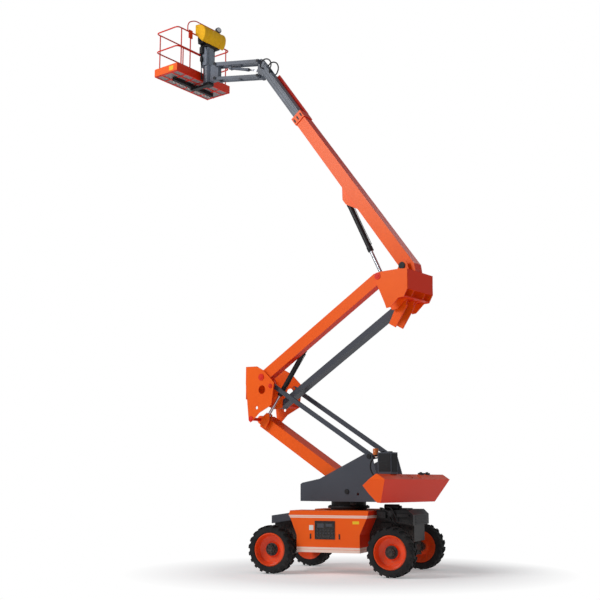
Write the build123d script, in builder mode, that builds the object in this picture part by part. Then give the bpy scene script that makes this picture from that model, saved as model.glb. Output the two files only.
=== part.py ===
"""Articulating boom lift, in millimetres.

+Z is up and the origin is on the ground under the slewing axis. The risers and booms lie in
planes of constant Y, with the counterweight at +X and the platform at -X. The chassis stands
under them turned by CHASSIS_HEADING. Every piece is drawn at the rest pose of its joints.
"""

import os
from math import cos, hypot, radians, sin

from build123d import *

os.makedirs("parts", exist_ok=True)

# Chassis
CHASSIS_HEADING = 15.26
WHEELBASE = 2500
OVERALL_WIDTH = 2470
TYRE_RADIUS = 475
TYRE_WIDTH = 355
RIM_RADIUS = 327
KING_PIN_Y = 790
DECK_Z = 1240
HUB_FACE_Y = OVERALL_WIDTH / 2 - TYRE_WIDTH / 2 - 80.3
RING_BOTTOM_Z = 1270
RING_TOP_Z = 1410
RING_RADIUS = 360

# Turntable
TURNTABLE_HALF_WIDTH = 475
TURNTABLE_FLOOR_Z = 1430
WEIGHT_TOP_HALF_WIDTH = 1240
WEIGHT_BOTTOM_HALF_WIDTH = 1020
WEIGHT_FLARE_Z = 1850
CASTING_SLOT = (525, 1620, 1760)
LUG_SLOT = (175, 1662)

# Riser mechanism: two equal-angle parallelograms joined by the elbow
RISER_ANGLE = 31.45
LOWER_RISER_LENGTH = 2976
UPPER_RISER_LENGTH = 3603
RISER_FOOT = (296, 1609)
LOWER_LINK_OFFSET = (544, 697)
ELBOW_RISE = (284, 905)
UPPER_LINK_OFFSET = (211, -609)
RISER_HALF_HEIGHT = 130
LOWER_RISER_HALF_WIDTH = 180
UPPER_RISER_HALF_HEIGHT = 125
UPPER_RISER_LANE = (-455, -275)
LINK_BAR_LANE = (335, 395)
LINK_BAR_HALF_HEIGHT = 45
UPPER_LINK_HALF_WIDTH = 115
UPPER_LINK_HALF_HEIGHT = 60
CYLINDER_LANE = -210
SIDE_PLATE_Y = 497
PLATE = 16
WALL = 8
INNER_WEB_Y = -130
CASTING_WEB_Y = 225
PIN_RADIUS = 35
PIN_CLEARANCE = 0.4
SIDE_CLEARANCE = 5

# Riser cylinder: eyes measured along and above each riser's pin line
RISER_CYLINDER_LOW = (2800, 200)
RISER_CYLINDER_HIGH = (1200, -12)

# Main boom, in its own line from the pivot
BOOM_ANGLE = 53.8
BOOM_PIVOT_OFFSET = (422, 213)
BOOM_HALF_WIDTH = 140
BOOM_BELOW = 96
BOOM_FOOT_ABOVE = 210
BOOM_HEAD_ABOVE = 165
BOOM_LENGTH = 4760
BOOM_CYLINDER_HIGH = (2230, -219)
BOOM_CYLINDER_LOW = (-550, -250)
FLY_HALF_WIDTH = 100
FLY_BELOW = 60
FLY_ABOVE = 125
FLY_START = 1900
PAD_LENGTH = 90
PAD_GAP = 0.3
FLY_END = 6330
JIB_MOUNT_PIN = (6520, 60)

# Jib and platform
JIB_ANGLE = 11.5
JIB_LENGTH = 1400
JIB_ARM_SPACING = 370
JIB_UPPER_OFFSET = (-190, 240)
JIB_ARM_HALF_WIDTH = 110
ROTATOR_REACH = 330
PLATFORM_LENGTH = 770
PLATFORM_WIDTH = 1930
PLATFORM_FLOOR_Z = 11713
RAIL_HEIGHT = 1100
RAIL_RADIUS = 17
RAIL_CORNER = 90
KICK_HEIGHT = 150


def reach(pin, angle, distance, rise=0):
    """Point so far along a member from its pin, and so far above its line."""
    c, s = cos(radians(angle)), sin(radians(angle))
    upward = 1 if c > 0 else -1
    return (pin[0] + distance * c - upward * rise * s, pin[1] + distance * s + upward * rise * c)


def moved(point, by):
    return (point[0] + by[0], point[1] + by[1])


def member(pin, angle, y=0):
    """Plane along a member: X runs from its pin, Y is upwards."""
    c, s = cos(radians(angle)), sin(radians(angle))
    return Plane(origin=(pin[0], y, pin[1]), x_dir=(c, 0, s), z_dir=(0, -1 if c > 0 else 1, 0))


def upright(y=0, at=(0, 0)):
    """Upright plane along the booms, X to the counterweight and Y up."""
    return Plane(origin=(at[0], y, at[1]), x_dir=(1, 0, 0), z_dir=(0, -1, 0))


def slab(plane, outline, thickness, holes=()):
    """Add a plate centred on a plane, with round holes of (x, y, radius)."""
    with BuildSketch(plane) as face:
        with BuildLine():
            Polyline(*outline, close=True)
        make_face()
        for x, y, radius in holes:
            with Locations((x, y)):
                Circle(radius, mode=Mode.SUBTRACT)
    extrude(face.sketch, amount=thickness / 2, both=True)


def drum(plane, radius, y_from, y_to, bore=0, mode=Mode.ADD):
    """Add a round bar or tube square to a plane, from one depth to another."""
    with BuildSketch(plane.offset(y_from)) as ring:
        Circle(radius)
        if bore:
            Circle(bore, mode=Mode.SUBTRACT)
    extrude(ring.sketch, amount=y_to - y_from, mode=mode)


def cross_pin(point, y_from, y_to, radius=PIN_RADIUS, mode=Mode.ADD):
    """Add a round bar along Y through a point of the boom plane."""
    across = Plane(origin=(point[0], y_from, point[1]), x_dir=(1, 0, 0), z_dir=(0, 1, 0))
    with BuildSketch(across) as ring:
        Circle(radius)
    extrude(ring.sketch, amount=y_to - y_from, mode=mode)


def bar(start, end, radius, bore=0, mode=Mode.ADD):
    """Add a round bar or tube between two points in space."""
    line = Vector(*end) - Vector(*start)
    with BuildSketch(Plane(origin=start, z_dir=line.normalized())) as ring:
        Circle(radius)
        if bore:
            Circle(bore, mode=Mode.SUBTRACT)
    extrude(ring.sketch, amount=line.length, mode=mode)


def block(low, high, mode=Mode.ADD):
    """Add a box between two corners."""
    centre = [(a + b) / 2 for a, b in zip(low, high)]
    size = [b - a for a, b in zip(low, high)]
    with BuildSketch(Plane(origin=(centre[0], centre[1], low[2]), z_dir=(0, 0, 1))) as base:
        Rectangle(size[0], size[1])
    extrude(base.sketch, amount=size[2], mode=mode)


def finish(piece, name):
    piece.part.label = name
    export_step(piece.part, f"parts/{name}.step")


def space(point, y):
    return (point[0], y, point[1])


chassis = Plane(origin=(0, 0, 0), x_dir=(cos(radians(CHASSIS_HEADING)), sin(radians(CHASSIS_HEADING)), 0))


def on_chassis(x, y, z):
    return chassis.from_local_coords(Vector(x, y, z))


def chassis_side(y):
    """Upright plane along the chassis, X to the engine end and Y up."""
    return Plane(origin=on_chassis(0, y, 0), x_dir=chassis.x_dir, z_dir=-chassis.y_dir)


# Pins of the boom plane, as (x, z)
LOWER_LINK_FOOT = moved(RISER_FOOT, LOWER_LINK_OFFSET)
LOWER_ANGLE = 180 - RISER_ANGLE
ELBOW_LOW = reach(RISER_FOOT, LOWER_ANGLE, LOWER_RISER_LENGTH)
ELBOW_LINK_LOW = moved(ELBOW_LOW, LOWER_LINK_OFFSET)
ELBOW_HIGH = moved(ELBOW_LOW, ELBOW_RISE)
ELBOW_LINK_HIGH = moved(ELBOW_HIGH, UPPER_LINK_OFFSET)
CASTING_PIN = reach(ELBOW_HIGH, RISER_ANGLE, UPPER_RISER_LENGTH)
CASTING_LINK_PIN = moved(CASTING_PIN, UPPER_LINK_OFFSET)
BOOM_PIVOT = moved(CASTING_PIN, BOOM_PIVOT_OFFSET)
BOOM_HEADING = 180 - BOOM_ANGLE
BOOM_CYLINDER_FOOT = moved(BOOM_PIVOT, BOOM_CYLINDER_LOW)
BOOM_CYLINDER_EYE = reach(BOOM_PIVOT, BOOM_HEADING, *BOOM_CYLINDER_HIGH)
RISER_CYLINDER_FOOT = reach(RISER_FOOT, LOWER_ANGLE, *RISER_CYLINDER_LOW)
RISER_CYLINDER_EYE = reach(ELBOW_HIGH, RISER_ANGLE, *RISER_CYLINDER_HIGH)
FLY_HEAD_PIN = reach(BOOM_PIVOT, BOOM_HEADING, *JIB_MOUNT_PIN)
JIB_HEADING = 180 - JIB_ANGLE
JIB_UPPER_PIN = moved(FLY_HEAD_PIN, JIB_UPPER_OFFSET)
JIB_LOWER_PIN = moved(JIB_UPPER_PIN, (0, -JIB_ARM_SPACING))
POST_UPPER_PIN = reach(JIB_UPPER_PIN, JIB_HEADING, JIB_LENGTH)
POST_LOWER_PIN = moved(POST_UPPER_PIN, (0, -JIB_ARM_SPACING))
ROTATOR_X = POST_UPPER_PIN[0] - ROTATOR_REACH

# ---------------------------------------------------------------- chassis
FRAME_OUTLINE = [(-1500, 640), (-1500, 960), (-700, 1090), (800, 1090), (1500, 960), (1500, 640),
                 (880, 640), (760, 560), (560, 440), (-560, 440), (-760, 560), (-880, 640)]
with BuildPart() as chassis_frame:
    slab(chassis_side(0), FRAME_OUTLINE, 760)
    drum(chassis, RING_RADIUS + 15, 1085, RING_BOTTOM_Z)
finish(chassis_frame, "chassis_frame")

COVER_OUTLINE = [(-755, 430), (-755, 760), (-890, 1090), (-930, 1150), (-900, DECK_Z), (760, DECK_Z),
                 (740, 1130), (575, 780), (575, 430)]
COVER_INNER_Y = 380
COVER_OUTER_Y = 1000
for side, name in ((-1, "side_cover_near"), (1, "side_cover_far")):
    with BuildPart() as cover:
        slab(chassis_side(side * (COVER_INNER_Y + COVER_OUTER_Y) / 2), COVER_OUTLINE,
             COVER_OUTER_Y - COVER_INNER_Y)
    finish(cover, name)

HOOD_OUTLINE = [(800, 1090), (800, 1256), (1440, 1256), (1540, 1160), (1540, 960), (1500, 960)]
with BuildPart() as engine_hood:
    slab(chassis_side(0), HOOD_OUTLINE, 1160)
finish(engine_hood, "engine_hood")

NOSE_OUTLINE = [(-1500, 960), (-1500, 1120), (-940, 1200), (-940, 1051)]
with BuildPart() as front_cowl:
    slab(chassis_side(0), NOSE_OUTLINE, 1100)
finish(front_cowl, "front_cowl")

for end, name in ((-1, "front_axle"), (1, "rear_axle")):
    x = end * WHEELBASE / 2
    with BuildPart() as axle:
        bar(on_chassis(x, -690, TYRE_RADIUS), on_chassis(x, 690, TYRE_RADIUS), 80)
        bar(on_chassis(x, -150, TYRE_RADIUS), on_chassis(x, 150, TYRE_RADIUS), 150)
        bar(on_chassis(x, 0, TYRE_RADIUS), on_chassis(x, 0, 640), 90)
        if end < 0:
            for side in (-1, 1):
                bar(on_chassis(x, side * 680, TYRE_RADIUS), on_chassis(x, side * HUB_FACE_Y, TYRE_RADIUS), 110)
        else:
            for side in (-1, 1):
                for low, high in ((-150, -115), (115, 150)):
                    bar(on_chassis(x, side * KING_PIN_Y, TYRE_RADIUS + low),
                        on_chassis(x, side * KING_PIN_Y, TYRE_RADIUS + high), 60)
                    bar(on_chassis(x, side * 660, TYRE_RADIUS + (low + high) / 2),
                        on_chassis(x, side * KING_PIN_Y, TYRE_RADIUS + (low + high) / 2), 15)
                bar(on_chassis(x, side * 660, TYRE_RADIUS - 148), on_chassis(x, side * 660, TYRE_RADIUS + 148), 50)
    finish(axle, name)

for side, name in ((-1, "knuckle_near"), (1, "knuckle_far")):
    x = WHEELBASE / 2
    with BuildPart() as knuckle:
        bar(on_chassis(x, side * KING_PIN_Y, TYRE_RADIUS - 114.7),
            on_chassis(x, side * KING_PIN_Y, TYRE_RADIUS + 114.7), 55)
        bar(on_chassis(x, side * KING_PIN_Y, TYRE_RADIUS), on_chassis(x, side * HUB_FACE_Y, TYRE_RADIUS), 100)
    finish(knuckle, name)

WHEELS = [("front", -1, "near", -1), ("front", -1, "far", 1), ("rear", 1, "near", -1), ("rear", 1, "far", 1)]
OUTER_FACE_Y = OVERALL_WIDTH / 2
TYRE_MIDDLE_Y = OUTER_FACE_Y - TYRE_WIDTH / 2
for end_name, end, side_name, side in WHEELS:
    centre = on_chassis(end * WHEELBASE / 2, side * TYRE_MIDDLE_Y, TYRE_RADIUS)
    outward = chassis.y_dir * side
    section = Plane(origin=centre, x_dir=outward, z_dir=chassis.x_dir)
    half = TYRE_WIDTH / 2
    with BuildPart() as tyre:
        with BuildSketch(section) as tread:
            with BuildLine():
                Polyline((-half, RIM_RADIUS + 10), (-half, TYRE_RADIUS - 55), (-half + 45, TYRE_RADIUS),
                         (half - 45, TYRE_RADIUS), (half, TYRE_RADIUS - 55), (half, RIM_RADIUS + 10),
                         (half - 20, RIM_RADIUS), (-half + 20, RIM_RADIUS), close=True)
            make_face()
        revolve(tread.sketch, axis=Axis(centre, outward))
    finish(tyre, f"tyre_{end_name}_{side_name}")
    with BuildPart() as rim:
        with BuildSketch(section) as dish:
            with BuildLine():
                Polyline((-half + 22, RIM_RADIUS - 1), (half - 22, RIM_RADIUS - 1), (half - 8, RIM_RADIUS - 22),
                         (half - 40, RIM_RADIUS - 30), (20, RIM_RADIUS - 60), (0, 150), (30, 130), (30, 0),
                         (-80, 0), (-80, 130), (-30, 170), (-half + 40, RIM_RADIUS - 25), close=True)
            make_face()
        revolve(dish.sketch, axis=Axis(centre, outward))
    finish(rim, f"rim_{end_name}_{side_name}")

# ---------------------------------------------------------------- turntable
with BuildPart() as slew_ring:
    drum(chassis, RING_RADIUS, RING_BOTTOM_Z, RING_TOP_Z)
finish(slew_ring, "slew_ring")

TURNTABLE_OUTLINE = [(-890, RING_TOP_Z), (-890, 1755), (-850, 1785), (-390, 1868), (715, 2350),
                     (897, 2350), (905, 2320), (1075, 1760), (1147, 1733), (1239, 1576), (1369, RING_TOP_Z)]
with BuildPart() as turntable_frame:
    for side in (-1, 1):
        slab(upright(side * TURNTABLE_HALF_WIDTH), TURNTABLE_OUTLINE, PLATE,
             holes=[(560, 1560, 28)])
        bar_edge = TURNTABLE_HALF_WIDTH - PLATE / 2
        cross_pin(LOWER_LINK_FOOT, *sorted((side * 330, side * (bar_edge + PLATE + 3))))
    block((-890, -TURNTABLE_HALF_WIDTH, RING_TOP_Z), (1180, TURNTABLE_HALF_WIDTH, RING_TOP_Z + 25))
    cross_pin(RISER_FOOT, -TURNTABLE_HALF_WIDTH - PLATE, TURNTABLE_HALF_WIDTH + PLATE)
finish(turntable_frame, "turntable_frame")

WEIGHT_OUTLINE = [(1148, 1734), (1490, 1952), (1530, 1952), (1691, WEIGHT_FLARE_Z), (1452, 1404), (1370, RING_TOP_Z), (1240, 1577)]
with BuildPart() as counterweight:
    slab(upright(0), WEIGHT_OUTLINE, 2 * WEIGHT_TOP_HALF_WIDTH)
    flare = WEIGHT_TOP_HALF_WIDTH - WEIGHT_BOTTOM_HALF_WIDTH
    for side in (-1, 1):
        with BuildSketch(Plane(origin=(1000, 0, 0), x_dir=(0, side, 0), z_dir=(side, 0, 0))) as taper:
            with BuildLine():
                Polyline((WEIGHT_BOTTOM_HALF_WIDTH, 1400), (WEIGHT_TOP_HALF_WIDTH, WEIGHT_FLARE_Z),
                         (WEIGHT_TOP_HALF_WIDTH + flare, WEIGHT_FLARE_Z), (WEIGHT_TOP_HALF_WIDTH + flare, 1400), close=True)
            make_face()
        extrude(taper.sketch, amount=side * 800, mode=Mode.SUBTRACT)
    half, end, low = CASTING_SLOT
    block((1000, -half, low), (end, half, 2000), mode=Mode.SUBTRACT)
    half, end = LUG_SLOT
    block((1000, -half, 1300), (end, half, 2000), mode=Mode.SUBTRACT)
finish(counterweight, "counterweight")

with BuildPart() as cabinet:
    block((1250, -800, 1952), (1560, -560, 2370))
    block((1250, -800, 1815), (1275, -560, 1952))
finish(cabinet, "cabinet")

with BuildPart() as beacon:
    block((1080, -670, 2290), (1250, -630, 2300))
    bar((1110, -650, 2300), (1110, -650, 2320), 30)
    bar((1110, -650, 2320), (1110, -650, 2450), 55)
finish(beacon, "beacon")

# ---------------------------------------------------------------- risers and links
with BuildPart() as lower_riser:
    line = member(RISER_FOOT, LOWER_ANGLE)
    length = LOWER_RISER_LENGTH
    outline = [(60, -RISER_HALF_HEIGHT), (60, RISER_HALF_HEIGHT), (length - 60, RISER_HALF_HEIGHT),
               (length - 60, -RISER_HALF_HEIGHT)]
    slab(line, outline, 2 * LOWER_RISER_HALF_WIDTH)
    for x in (0, length):
        cross_pin(reach(RISER_FOOT, LOWER_ANGLE, x), -LOWER_RISER_HALF_WIDTH, LOWER_RISER_HALF_WIDTH, 90)
    along, above = RISER_CYLINDER_LOW
    for y in (CYLINDER_LANE - 45, CYLINDER_LANE + 45):
        slab(member(RISER_FOOT, LOWER_ANGLE, y),
             [(along - 120, -60), (along - 120, RISER_HALF_HEIGHT), (along - 50, above + 50),
              (along + 40, above + 50), (along + 90, RISER_HALF_HEIGHT), (along + 90, -60)], 20)
    cross_pin(reach(RISER_FOOT, LOWER_ANGLE, along - 60, 60), CYLINDER_LANE - 45, -LOWER_RISER_HALF_WIDTH, 40)
    for x in (0, length):
        cross_pin(reach(RISER_FOOT, LOWER_ANGLE, x), -300, 300, PIN_RADIUS + PIN_CLEARANCE, mode=Mode.SUBTRACT)
    with BuildSketch(line.offset(0)) as hollow:
        with Locations((length / 2, 0)):
            Rectangle(length - 400, 2 * RISER_HALF_HEIGHT - 2 * WALL)
    extrude(hollow.sketch, amount=LOWER_RISER_HALF_WIDTH - WALL, both=True, mode=Mode.SUBTRACT)
finish(lower_riser, "lower_riser")


def link_bar(pin, angle, length, y, half_height, thickness):
    """Add a flat bar with a round end and a bore at each pin."""
    with BuildSketch(member(pin, angle, y)) as profile:
        with Locations((length / 2, 0)):
            SlotCenterToCenter(length, 2 * half_height)
        with Locations((0, 0), (length, 0)):
            Circle(half_height + 9)
            Circle(PIN_RADIUS + PIN_CLEARANCE, mode=Mode.SUBTRACT)
    extrude(profile.sketch, amount=thickness / 2, both=True)


for side, name in ((-1, "lower_link_near"), (1, "lower_link_far")):
    with BuildPart() as lower_link:
        link_bar(LOWER_LINK_FOOT, LOWER_ANGLE, LOWER_RISER_LENGTH, side * sum(LINK_BAR_LANE) / 2,
                 LINK_BAR_HALF_HEIGHT, LINK_BAR_LANE[1] - LINK_BAR_LANE[0])
    finish(lower_link, name)

ELBOW_OUTLINE = [(-2405, 3950), (-2402, 4321), (-2093, 4313), (-1895, 4210), (-1602, 3928), (-1671, 3446),
                 (-2018, 3287), (-2180, 3143), (-2262, 3090), (-2313, 3150)]
ELBOW_HOLES = [(-1941, 3791, 95), (-2084, 3402, 35)]
with BuildPart() as elbow:
    for side in (-1, 1):
        slab(upright(side * SIDE_PLATE_Y), ELBOW_OUTLINE, PLATE, ELBOW_HOLES)
        inner, outer = LINK_BAR_LANE[0] - 6, SIDE_PLATE_Y + PLATE
        cross_pin(ELBOW_LINK_LOW, *sorted((side * inner, side * outer)))
    slab(upright(INNER_WEB_Y), [(-2395, 3600), (-2395, 4140), (-1950, 4140), (-1650, 3560), (-1660, 3400),
                                (-1900, 3380)], PLATE)
    block((-2405, -SIDE_PLATE_Y, 3600), (-2389, SIDE_PLATE_Y, 4140))
    cross_pin(ELBOW_LOW, -SIDE_PLATE_Y - PLATE, SIDE_PLATE_Y + PLATE)
    cross_pin(ELBOW_HIGH, -SIDE_PLATE_Y - PLATE, INNER_WEB_Y)
    cross_pin(ELBOW_LINK_HIGH, INNER_WEB_Y, SIDE_PLATE_Y + PLATE)
finish(elbow, "elbow")

lane_middle = sum(UPPER_RISER_LANE) / 2
lane_width = UPPER_RISER_LANE[1] - UPPER_RISER_LANE[0]
with BuildPart() as upper_riser:
    line = member(ELBOW_HIGH, RISER_ANGLE, lane_middle)
    length = UPPER_RISER_LENGTH
    h = UPPER_RISER_HALF_HEIGHT
    slab(line, [(60, -h), (60, h), (length - 60, h), (length - 60, -h)], lane_width)
    for x in (0, length):
        cross_pin(reach(ELBOW_HIGH, RISER_ANGLE, x), *UPPER_RISER_LANE, 90)
        cross_pin(reach(ELBOW_HIGH, RISER_ANGLE, x), -500, 0, PIN_RADIUS + PIN_CLEARANCE, mode=Mode.SUBTRACT)
    along, above = RISER_CYLINDER_HIGH
    with BuildSketch(line) as hollow:
        with Locations((length / 2, 0)):
            Rectangle(length - 400, 2 * h - 2 * WALL)
    extrude(hollow.sketch, amount=lane_width / 2 - WALL, both=True, mode=Mode.SUBTRACT)
    cross_pin(reach(ELBOW_HIGH, RISER_ANGLE, along, above), UPPER_RISER_LANE[1] - 4, CYLINDER_LANE + 70, 30)
    cross_pin(reach(ELBOW_HIGH, RISER_ANGLE, along, above), UPPER_RISER_LANE[1] - 4, CYLINDER_LANE - 52, 60)
finish(upper_riser, "upper_riser")

with BuildPart() as upper_link:
    link_bar(ELBOW_LINK_HIGH, RISER_ANGLE, UPPER_RISER_LENGTH, 0, UPPER_LINK_HALF_HEIGHT, 2 * UPPER_LINK_HALF_WIDTH)
finish(upper_link, "upper_link")


def cylinder_pair(name, barrel_eye, rod_eye, y, barrel_radius, rod_radius, barrel_share, barrel_bore, eye_width):
    """A barrel hung at one eye, and its rod reaching the other eye."""
    length = hypot(rod_eye[0] - barrel_eye[0], rod_eye[1] - barrel_eye[1])
    way = Vector(rod_eye[0] - barrel_eye[0], 0, rod_eye[1] - barrel_eye[1]) / length
    start, end = Vector(*space(barrel_eye, y)), Vector(*space(rod_eye, y))
    half = eye_width / 2
    with BuildPart() as barrel:
        bar(tuple(start), tuple(start + way * length * barrel_share), barrel_radius)
        cross_pin(barrel_eye, y - half, y + half, barrel_radius + 5)
        bar(tuple(start + way * (barrel_radius + 60)), tuple(end), rod_radius + 0.5, mode=Mode.SUBTRACT)
        cross_pin(barrel_eye, y - 200, y + 200, barrel_bore, mode=Mode.SUBTRACT)
    finish(barrel, f"{name}_barrel")
    with BuildPart() as rod:
        bar(tuple(start + way * (length * barrel_share - 250)), tuple(end), rod_radius)
        cross_pin(rod_eye, y - half, y + half, rod_radius + 20)
        cross_pin(rod_eye, y - 200, y + 200, rod_radius - 8, mode=Mode.SUBTRACT)
    finish(rod, f"{name}_rod")


cylinder_pair("riser_cylinder", RISER_CYLINDER_EYE, RISER_CYLINDER_FOOT, CYLINDER_LANE, 50, 32, 0.70, 30.4, 60)

# ---------------------------------------------------------------- casting and main boom
CASTING_OUTLINE = [(1062, 6017), (1179, 6032), (1627, 6039), (1824, 6020), (1815, 5609), (1728, 5454),
                   (1604, 5448), (1408, 5274), (1316, 5264), (1272, 5377), (1138, 5679), (1050, 5850)]
with BuildPart() as casting:
    for side in (-1, 1):
        slab(upright(side * SIDE_PLATE_Y), CASTING_OUTLINE, PLATE)
        slab(upright(side * CASTING_WEB_Y), [(950, 5800), (950, 6000), (1400, 6060), (1500, 6250), (1640, 6250),
                                             (1700, 6060), (1810, 6000), (1810, 5610), (1728, 5470),
                                             (1604, 5450), (1408, 5274), (1280, 5264)], PLATE)
    block((1808, -SIDE_PLATE_Y, 5609), (1824, SIDE_PLATE_Y, 6020))
    for y in (-140, 140):
        slab(upright(y), [(1560, 5350), (1600, 5350), (1300, 4914), (1150, 5000), (1180, 5060), (1330, 5350),
                          (1400, 5480), (1600, 5480)], 24)
    slab(upright(0), [(1390, 5470), (1390, 5486), (1740, 5486), (1740, 5470)], 2 * SIDE_PLATE_Y)
    cross_pin(CASTING_PIN, -SIDE_PLATE_Y - PLATE, -CASTING_WEB_Y)
    cross_pin(CASTING_LINK_PIN, -CASTING_WEB_Y, CASTING_WEB_Y)
    cross_pin(BOOM_PIVOT, -CASTING_WEB_Y - PLATE, CASTING_WEB_Y + PLATE)
    for side in (-1, 1):
        cross_pin(BOOM_CYLINDER_FOOT, *sorted((side * 45, side * CASTING_WEB_Y)), 40)
finish(casting, "casting")

with BuildPart() as main_boom:
    line = member(BOOM_PIVOT, BOOM_HEADING)
    slab(line, [(-280, -40), (-160, -BOOM_BELOW), (BOOM_LENGTH, -BOOM_BELOW), (BOOM_LENGTH, BOOM_HEAD_ABOVE),
                (-100, BOOM_FOOT_ABOVE), (-280, BOOM_FOOT_ABOVE - 90)], 2 * BOOM_HALF_WIDTH)
    slab(line, [(BOOM_LENGTH - 150, -BOOM_BELOW - 20), (BOOM_LENGTH + 60, -BOOM_BELOW - 20),
                (BOOM_LENGTH + 60, BOOM_HEAD_ABOVE + 20), (BOOM_LENGTH - 150, BOOM_HEAD_ABOVE + 20)],
         2 * BOOM_HALF_WIDTH + 40)
    for y in (-75, 75):
        slab(line.offset(y), [(1800, -BOOM_BELOW + 5), (2150, -270), (2300, -270), (2560, -BOOM_BELOW + 5)], 30)
    with BuildSketch(line) as hollow:
        with BuildLine():
            Polyline((350, -BOOM_BELOW + WALL), (BOOM_LENGTH - PAD_LENGTH, -BOOM_BELOW + WALL),
                     (BOOM_LENGTH - PAD_LENGTH, BOOM_HEAD_ABOVE - WALL), (350, BOOM_FOOT_ABOVE - WALL), close=True)
        make_face()
    extrude(hollow.sketch, amount=BOOM_HALF_WIDTH - WALL, both=True, mode=Mode.SUBTRACT)
    with BuildSketch(line) as mouth:
        with Locations((BOOM_LENGTH, (FLY_ABOVE - FLY_BELOW) / 2)):
            Rectangle(4 * PAD_LENGTH, FLY_ABOVE + FLY_BELOW + 2 * PAD_GAP)
    extrude(mouth.sketch, amount=FLY_HALF_WIDTH + PAD_GAP, both=True, mode=Mode.SUBTRACT)
    cross_pin(BOOM_PIVOT, -400, 400, PIN_RADIUS + PIN_CLEARANCE, mode=Mode.SUBTRACT)
    cross_pin(BOOM_CYLINDER_EYE, -60, 60, 60, mode=Mode.SUBTRACT)
    cross_pin(BOOM_CYLINDER_EYE, -90, 90, 30)
finish(main_boom, "main_boom")

cylinder_pair("boom_cylinder", BOOM_CYLINDER_EYE, BOOM_CYLINDER_FOOT, 0, 58, 40, 0.62, 30.4, 78)

with BuildPart() as fly_boom:
    line = member(BOOM_PIVOT, BOOM_HEADING)
    slab(line, [(FLY_START, -FLY_BELOW), (FLY_START, FLY_ABOVE), (FLY_END, FLY_ABOVE), (FLY_END, -FLY_BELOW)],
         2 * FLY_HALF_WIDTH)
    pad_floor = -BOOM_BELOW + WALL + PAD_GAP
    slab(line, [(FLY_START, pad_floor), (FLY_START, FLY_ABOVE), (FLY_START + PAD_LENGTH, FLY_ABOVE),
                (FLY_START + PAD_LENGTH, pad_floor)], 2 * (BOOM_HALF_WIDTH - WALL - PAD_GAP))
    with BuildSketch(line) as hollow:
        with Locations(((FLY_START + FLY_END) / 2 - 50, (FLY_ABOVE - FLY_BELOW) / 2)):
            Rectangle(FLY_END - FLY_START, FLY_ABOVE + FLY_BELOW - 2 * WALL)
    extrude(hollow.sketch, amount=FLY_HALF_WIDTH - WALL, both=True, mode=Mode.SUBTRACT)
    for y in (-90, 90):
        slab(line.offset(y), [(FLY_END - 100, -FLY_BELOW), (FLY_END - 100, FLY_ABOVE), (JIB_MOUNT_PIN[0] + 70, 130),
                              (JIB_MOUNT_PIN[0] + 70, -10), (FLY_END, -FLY_BELOW)], 20)
    cross_pin(FLY_HEAD_PIN, -100, 100, 30)
finish(fly_boom, "fly_boom")

# ---------------------------------------------------------------- jib and platform
with BuildPart() as jib_mount:
    slab(upright(0), [moved(FLY_HEAD_PIN, (60, -60)), moved(FLY_HEAD_PIN, (60, 60)), moved(JIB_UPPER_PIN, (60, 60)),
                      moved(JIB_UPPER_PIN, (-50, 50)), moved(JIB_LOWER_PIN, (-50, -50)),
                      moved(JIB_LOWER_PIN, (50, -50))], 120)
    for pin in (JIB_UPPER_PIN, JIB_LOWER_PIN):
        cross_pin(pin, -150, 150, 25)
    cross_pin(FLY_HEAD_PIN, -200, 200, 30.4, mode=Mode.SUBTRACT)
finish(jib_mount, "jib_mount")

for pin, name, half in ((JIB_UPPER_PIN, "jib_upper_arm", 45), (JIB_LOWER_PIN, "jib_lower_arm", 35)):
    with BuildPart() as arm:
        for y in (-100, 100):
            with BuildSketch(member(pin, JIB_HEADING, y)) as profile:
                with Locations((JIB_LENGTH / 2, 0)):
                    SlotCenterToCenter(JIB_LENGTH, 2 * half)
                with Locations((0, 0), (JIB_LENGTH, 0)):
                    Circle(50)
                    Circle(25.4, mode=Mode.SUBTRACT)
            extrude(profile.sketch, amount=20, both=True)
        cross_pin(reach(pin, JIB_HEADING, JIB_LENGTH / 2), -100, 100, 25)
    finish(arm, name)

with BuildPart() as jib_post:
    for pin in (POST_UPPER_PIN, POST_LOWER_PIN):
        cross_pin(pin, -150, 150, 25)
    slab(upright(0), [moved(POST_UPPER_PIN, (45, 45)), moved(POST_UPPER_PIN, (-80, 28)),
                      moved(POST_UPPER_PIN, (-ROTATOR_REACH, 28)), moved(POST_LOWER_PIN, (-ROTATOR_REACH, -18)),
                      moved(POST_LOWER_PIN, (-80, -18)), moved(POST_LOWER_PIN, (45, -45))], 120)
    bar((ROTATOR_X, 0, POST_LOWER_PIN[1] - 20), (ROTATOR_X, 0, POST_UPPER_PIN[1] + 30), 130)
finish(jib_post, "jib_post")

PLATFORM_NEAR_X = ROTATOR_X - 150
PLATFORM_FAR_X = PLATFORM_NEAR_X - PLATFORM_LENGTH
HALF = PLATFORM_WIDTH / 2
FLOOR_DEPTH = 40
KICK_PLATE = 8
with BuildPart() as platform_floor:
    block((PLATFORM_FAR_X + KICK_PLATE, -HALF + KICK_PLATE, PLATFORM_FLOOR_Z - FLOOR_DEPTH),
          (PLATFORM_NEAR_X - KICK_PLATE, HALF - KICK_PLATE, PLATFORM_FLOOR_Z))
finish(platform_floor, "platform_floor")

with BuildPart() as platform_kick:
    block((PLATFORM_FAR_X, -HALF, PLATFORM_FLOOR_Z - FLOOR_DEPTH),
          (PLATFORM_NEAR_X, HALF, PLATFORM_FLOOR_Z + KICK_HEIGHT))
    block((PLATFORM_FAR_X + KICK_PLATE, -HALF + KICK_PLATE, PLATFORM_FLOOR_Z - FLOOR_DEPTH),
          (PLATFORM_NEAR_X - KICK_PLATE, HALF - KICK_PLATE, PLATFORM_FLOOR_Z + KICK_HEIGHT), mode=Mode.SUBTRACT)
finish(platform_kick, "platform_kick")

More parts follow.
